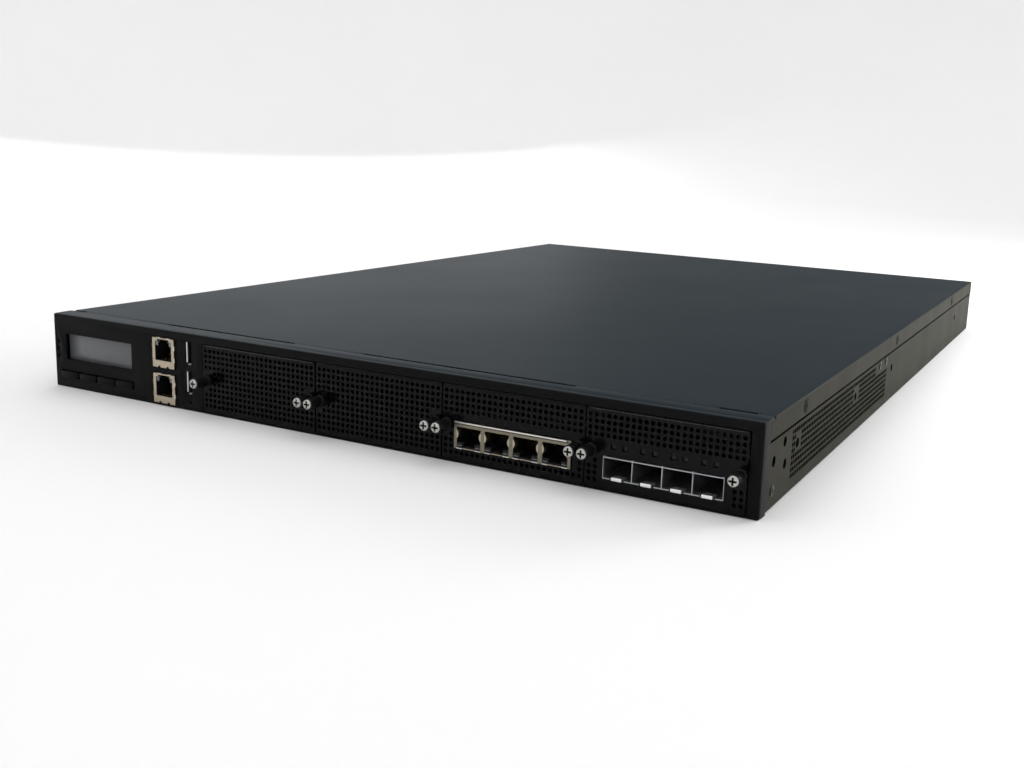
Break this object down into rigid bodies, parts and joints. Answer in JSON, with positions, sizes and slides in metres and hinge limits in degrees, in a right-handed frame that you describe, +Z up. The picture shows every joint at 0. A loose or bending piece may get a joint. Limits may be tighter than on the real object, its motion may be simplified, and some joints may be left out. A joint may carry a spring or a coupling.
{
  "type": "firewall appliance",
  "caption": "One-unit rack firewall appliance with a display, menu keys, plug-in port modules held by thumbscrews, case fans and plug-in power supplies.",
  "frame": {"origin": "middle of the flat underside of the chassis", "axes": "+Z up, -Y out of the front face, +X to the right as seen from the front"},
  "size_m": [0.438, 0.6543, 0.0437],
  "materials": {
    "case_paint": "fine textured powder coat, satin",
    "cover_paint": "fine textured powder coat, matte, dark slate",
    "bezel_paint": "fine textured powder coat, matte black",
    "module_paint": "fine textured powder coat, matte black, perforated",
    "nickel_shell": "nickel plated, bright satin",
    "zinc_steel": "zinc plated sheet, satin",
    "screen": "grey display window, semi-gloss",
    "black_plastic": "moulded, matte",
    "key_plastic": "moulded, satin",
    "latch_plastic": "moulded, satin blue touch point",
    "switch_plastic": "moulded, glossy",
    "clear_plastic": "smoked clear moulding",
    "circuit_green": "solder mask, semi-gloss",
    "aluminium": "extruded, satin",
    "stud_steel": "turned steel",
    "black_screw": "black oxide, knurled, with a bright driver end"
  },
  "bodies": {
    "chassis": {"chassis_tray": "case_paint", "front_bezel": "bezel_paint", "lcd_display": "screen", "status_light_pipes": "clear_plastic", "management_port_upper": "nickel_shell", "management_port_lower": "nickel_shell", "usb_port_upper": "nickel_shell", "usb_port_lower": "nickel_shell", "front_io_board": "circuit_green", "module_backplane": "circuit_green", "main_board": "circuit_green", "cpu_heatsink": "aluminium", "memory_module_1": "circuit_green", "memory_module_2": "circuit_green", "solid_state_drive": "aluminium", "power_board": "circuit_green", "fan_frame_1": "black_plastic", "fan_frame_2": "black_plastic", "fan_frame_3": "black_plastic", "power_switch_housing": "black_plastic"},
    "cover": {"top_cover": "cover_paint"},
    "module_1": {"blank_module_1": "module_paint"},
    "module_2": {"blank_module_2": "module_paint"},
    "module_3": {"copper_module_tray": "module_paint", "copper_module_board": "circuit_green", "copper_port_block": "nickel_shell"},
    "module_4": {"fibre_module_tray": "module_paint", "fibre_module_board": "circuit_green", "fibre_cage_block": "nickel_shell"},
    "supply_1": {"power_supply_1": "zinc_steel"},
    "supply_2": {"power_supply_2": "zinc_steel"},
    "reset": {"reset_button": "black_plastic"},
    "rocker": {"power_switch_rocker": "switch_plastic"},
    "stud_1": {"thumbscrew_stud_1": "stud_steel"},
    "knob_1": {"thumbscrew_knob_1": "black_screw"},
    "stud_2": {"thumbscrew_stud_2": "stud_steel"},
    "knob_2": {"thumbscrew_knob_2": "black_screw"},
    "stud_3": {"thumbscrew_stud_3": "stud_steel"},
    "knob_3": {"thumbscrew_knob_3": "black_screw"},
    "stud_4": {"thumbscrew_stud_4": "stud_steel"},
    "knob_4": {"thumbscrew_knob_4": "black_screw"},
    "stud_5": {"thumbscrew_stud_5": "stud_steel"},
    "knob_5": {"thumbscrew_knob_5": "black_screw"},
    "stud_6": {"thumbscrew_stud_6": "stud_steel"},
    "knob_6": {"thumbscrew_knob_6": "black_screw"},
    "stud_7": {"thumbscrew_stud_7": "stud_steel"},
    "knob_7": {"thumbscrew_knob_7": "black_screw"},
    "stud_8": {"thumbscrew_stud_8": "stud_steel"},
    "knob_8": {"thumbscrew_knob_8": "black_screw"},
    "key_1": {"menu_key_1": "key_plastic"},
    "key_2": {"menu_key_2": "key_plastic"},
    "key_3": {"menu_key_3": "key_plastic"},
    "key_4": {"menu_key_4": "key_plastic"},
    "fan_1": {"fan_rotor_1": "black_plastic"},
    "fan_2": {"fan_rotor_2": "black_plastic"},
    "fan_3": {"fan_rotor_3": "black_plastic"},
    "supply_fan_1": {"supply_fan_rotor_1": "black_plastic"},
    "latch_1": {"supply_latch_1": "latch_plastic"},
    "supply_fan_2": {"supply_fan_rotor_2": "black_plastic"},
    "latch_2": {"supply_latch_2": "latch_plastic"}
  },
  "joints": [
    {"name": "cover_lift", "type": "slide", "parent": "chassis", "child": "cover", "axis": [0, 0, 1], "range_m": [0, 0.12]},
    {"name": "module_1_slide", "type": "slide", "parent": "chassis", "child": "module_1", "axis": [0, -1, 0], "range_m": [0, 0.04]},
    {"name": "module_2_slide", "type": "slide", "parent": "chassis", "child": "module_2", "axis": [0, -1, 0], "range_m": [0, 0.04]},
    {"name": "module_3_slide", "type": "slide", "parent": "chassis", "child": "module_3", "axis": [0, -1, 0], "range_m": [0, 0.19]},
    {"name": "module_4_slide", "type": "slide", "parent": "chassis", "child": "module_4", "axis": [0, -1, 0], "range_m": [0, 0.19]},
    {"name": "stud_1_advance", "type": "slide", "parent": "module_1", "child": "stud_1", "axis": [0, -1, 0], "range_m": [0, 0.004]},
    {"name": "knob_1_turn", "type": "hinge", "parent": "stud_1", "child": "knob_1", "pos_m": [-0.0969, -0.314, 0.0192], "axis": [0, -1, 0], "range_deg": [0, 2880]},
    {"name": "stud_2_advance", "type": "slide", "parent": "module_1", "child": "stud_2", "axis": [0, -1, 0], "range_m": [0, 0.004]},
    {"name": "knob_2_turn", "type": "hinge", "parent": "stud_2", "child": "knob_2", "pos_m": [-0.02515, -0.314, 0.0192], "axis": [0, -1, 0], "range_deg": [0, 2880]},
    {"name": "stud_3_advance", "type": "slide", "parent": "module_2", "child": "stud_3", "axis": [0, -1, 0], "range_m": [0, 0.004]},
    {"name": "knob_3_turn", "type": "hinge", "parent": "stud_3", "child": "knob_3", "pos_m": [-0.01855, -0.314, 0.0192], "axis": [0, -1, 0], "range_deg": [0, 2880]},
    {"name": "stud_4_advance", "type": "slide", "parent": "module_2", "child": "stud_4", "axis": [0, -1, 0], "range_m": [0, 0.004]},
    {"name": "knob_4_turn", "type": "hinge", "parent": "stud_4", "child": "knob_4", "pos_m": [0.0532, -0.314, 0.0192], "axis": [0, -1, 0], "range_deg": [0, 2880]},
    {"name": "stud_5_advance", "type": "slide", "parent": "module_3", "child": "stud_5", "axis": [0, -1, 0], "range_m": [0, 0.004]},
    {"name": "knob_5_turn", "type": "hinge", "parent": "stud_5", "child": "knob_5", "pos_m": [0.0598, -0.314, 0.0192], "axis": [0, -1, 0], "range_deg": [0, 2880]},
    {"name": "stud_6_advance", "type": "slide", "parent": "module_3", "child": "stud_6", "axis": [0, -1, 0], "range_m": [0, 0.004]},
    {"name": "knob_6_turn", "type": "hinge", "parent": "stud_6", "child": "knob_6", "pos_m": [0.13155, -0.314, 0.0192], "axis": [0, -1, 0], "range_deg": [0, 2880]},
    {"name": "stud_7_advance", "type": "slide", "parent": "module_4", "child": "stud_7", "axis": [0, -1, 0], "range_m": [0, 0.004]},
    {"name": "knob_7_turn", "type": "hinge", "parent": "stud_7", "child": "knob_7", "pos_m": [0.13815, -0.314, 0.0192], "axis": [0, -1, 0], "range_deg": [0, 2880]},
    {"name": "stud_8_advance", "type": "slide", "parent": "module_4", "child": "stud_8", "axis": [0, -1, 0], "range_m": [0, 0.004]},
    {"name": "knob_8_turn", "type": "hinge", "parent": "stud_8", "child": "knob_8", "pos_m": [0.2099, -0.314, 0.0192], "axis": [0, -1, 0], "range_deg": [0, 2880]},
    {"name": "key_1_press", "type": "slide", "parent": "chassis", "child": "key_1", "axis": [0, 1, 0], "range_m": [0, 0.0006], "stiffness_N_per_m": 800, "springref_m": -0.0005},
    {"name": "key_2_press", "type": "slide", "parent": "chassis", "child": "key_2", "axis": [0, 1, 0], "range_m": [0, 0.0006], "stiffness_N_per_m": 800, "springref_m": -0.0005},
    {"name": "key_3_press", "type": "slide", "parent": "chassis", "child": "key_3", "axis": [0, 1, 0], "range_m": [0, 0.0006], "stiffness_N_per_m": 800, "springref_m": -0.0005},
    {"name": "key_4_press", "type": "slide", "parent": "chassis", "child": "key_4", "axis": [0, 1, 0], "range_m": [0, 0.0006], "stiffness_N_per_m": 800, "springref_m": -0.0005},
    {"name": "reset_press", "type": "slide", "parent": "chassis", "child": "reset", "axis": [0, 1, 0], "range_m": [0, 0.0005], "stiffness_N_per_m": 800, "springref_m": -0.0005},
    {"name": "fan_1_spin", "type": "hinge", "parent": "chassis", "child": "fan_1", "pos_m": [-0.033, 0.2955, 0.0216], "axis": [0, 1, 0], "continuous": true},
    {"name": "fan_2_spin", "type": "hinge", "parent": "chassis", "child": "fan_2", "pos_m": [0.01, 0.2955, 0.0216], "axis": [0, 1, 0], "continuous": true},
    {"name": "fan_3_spin", "type": "hinge", "parent": "chassis", "child": "fan_3", "pos_m": [0.053, 0.2955, 0.0216], "axis": [0, 1, 0], "continuous": true},
    {"name": "supply_1_slide", "type": "slide", "parent": "chassis", "child": "supply_1", "axis": [0, 1, 0], "range_m": [0, 0.24]},
    {"name": "supply_fan_1_spin", "type": "hinge", "parent": "supply_1", "child": "supply_fan_1", "pos_m": [-0.1623, 0.3035, 0.0216], "axis": [0, 1, 0], "continuous": true},
    {"name": "latch_1_press", "type": "hinge", "parent": "supply_1", "child": "latch_1", "pos_m": [-0.1425, 0.3137, 0.0216], "axis": [0, 0, 1], "range_deg": [0, 12], "stiffness_Nm_per_rad": 0.5, "springref_deg": -5.73},
    {"name": "supply_2_slide", "type": "slide", "parent": "chassis", "child": "supply_2", "axis": [0, 1, 0], "range_m": [0, 0.24]},
    {"name": "supply_fan_2_spin", "type": "hinge", "parent": "supply_2", "child": "supply_fan_2", "pos_m": [-0.0873, 0.3035, 0.0216], "axis": [0, 1, 0], "continuous": true},
    {"name": "latch_2_press", "type": "hinge", "parent": "supply_2", "child": "latch_2", "pos_m": [-0.0675, 0.3137, 0.0216], "axis": [0, 0, 1], "range_deg": [0, 12], "stiffness_Nm_per_rad": 0.5, "springref_deg": -5.73},
    {"name": "power_switch_rock", "type": "hinge", "parent": "chassis", "child": "rocker", "pos_m": [0.099, 0.308, 0.0216], "axis": [1, 0, 0], "range_deg": [0, 14]}
  ],
  "couplings": [
    {"joint": "knob_1_turn", "follows": "stud_1_advance", "rad_per_m": 12566},
    {"joint": "knob_2_turn", "follows": "stud_2_advance", "rad_per_m": 12566},
    {"joint": "knob_3_turn", "follows": "stud_3_advance", "rad_per_m": 12566},
    {"joint": "knob_4_turn", "follows": "stud_4_advance", "rad_per_m": 12566},
    {"joint": "knob_5_turn", "follows": "stud_5_advance", "rad_per_m": 12566},
    {"joint": "knob_6_turn", "follows": "stud_6_advance", "rad_per_m": 12566},
    {"joint": "knob_7_turn", "follows": "stud_7_advance", "rad_per_m": 12566},
    {"joint": "knob_8_turn", "follows": "stud_8_advance", "rad_per_m": 12566}
  ]
}
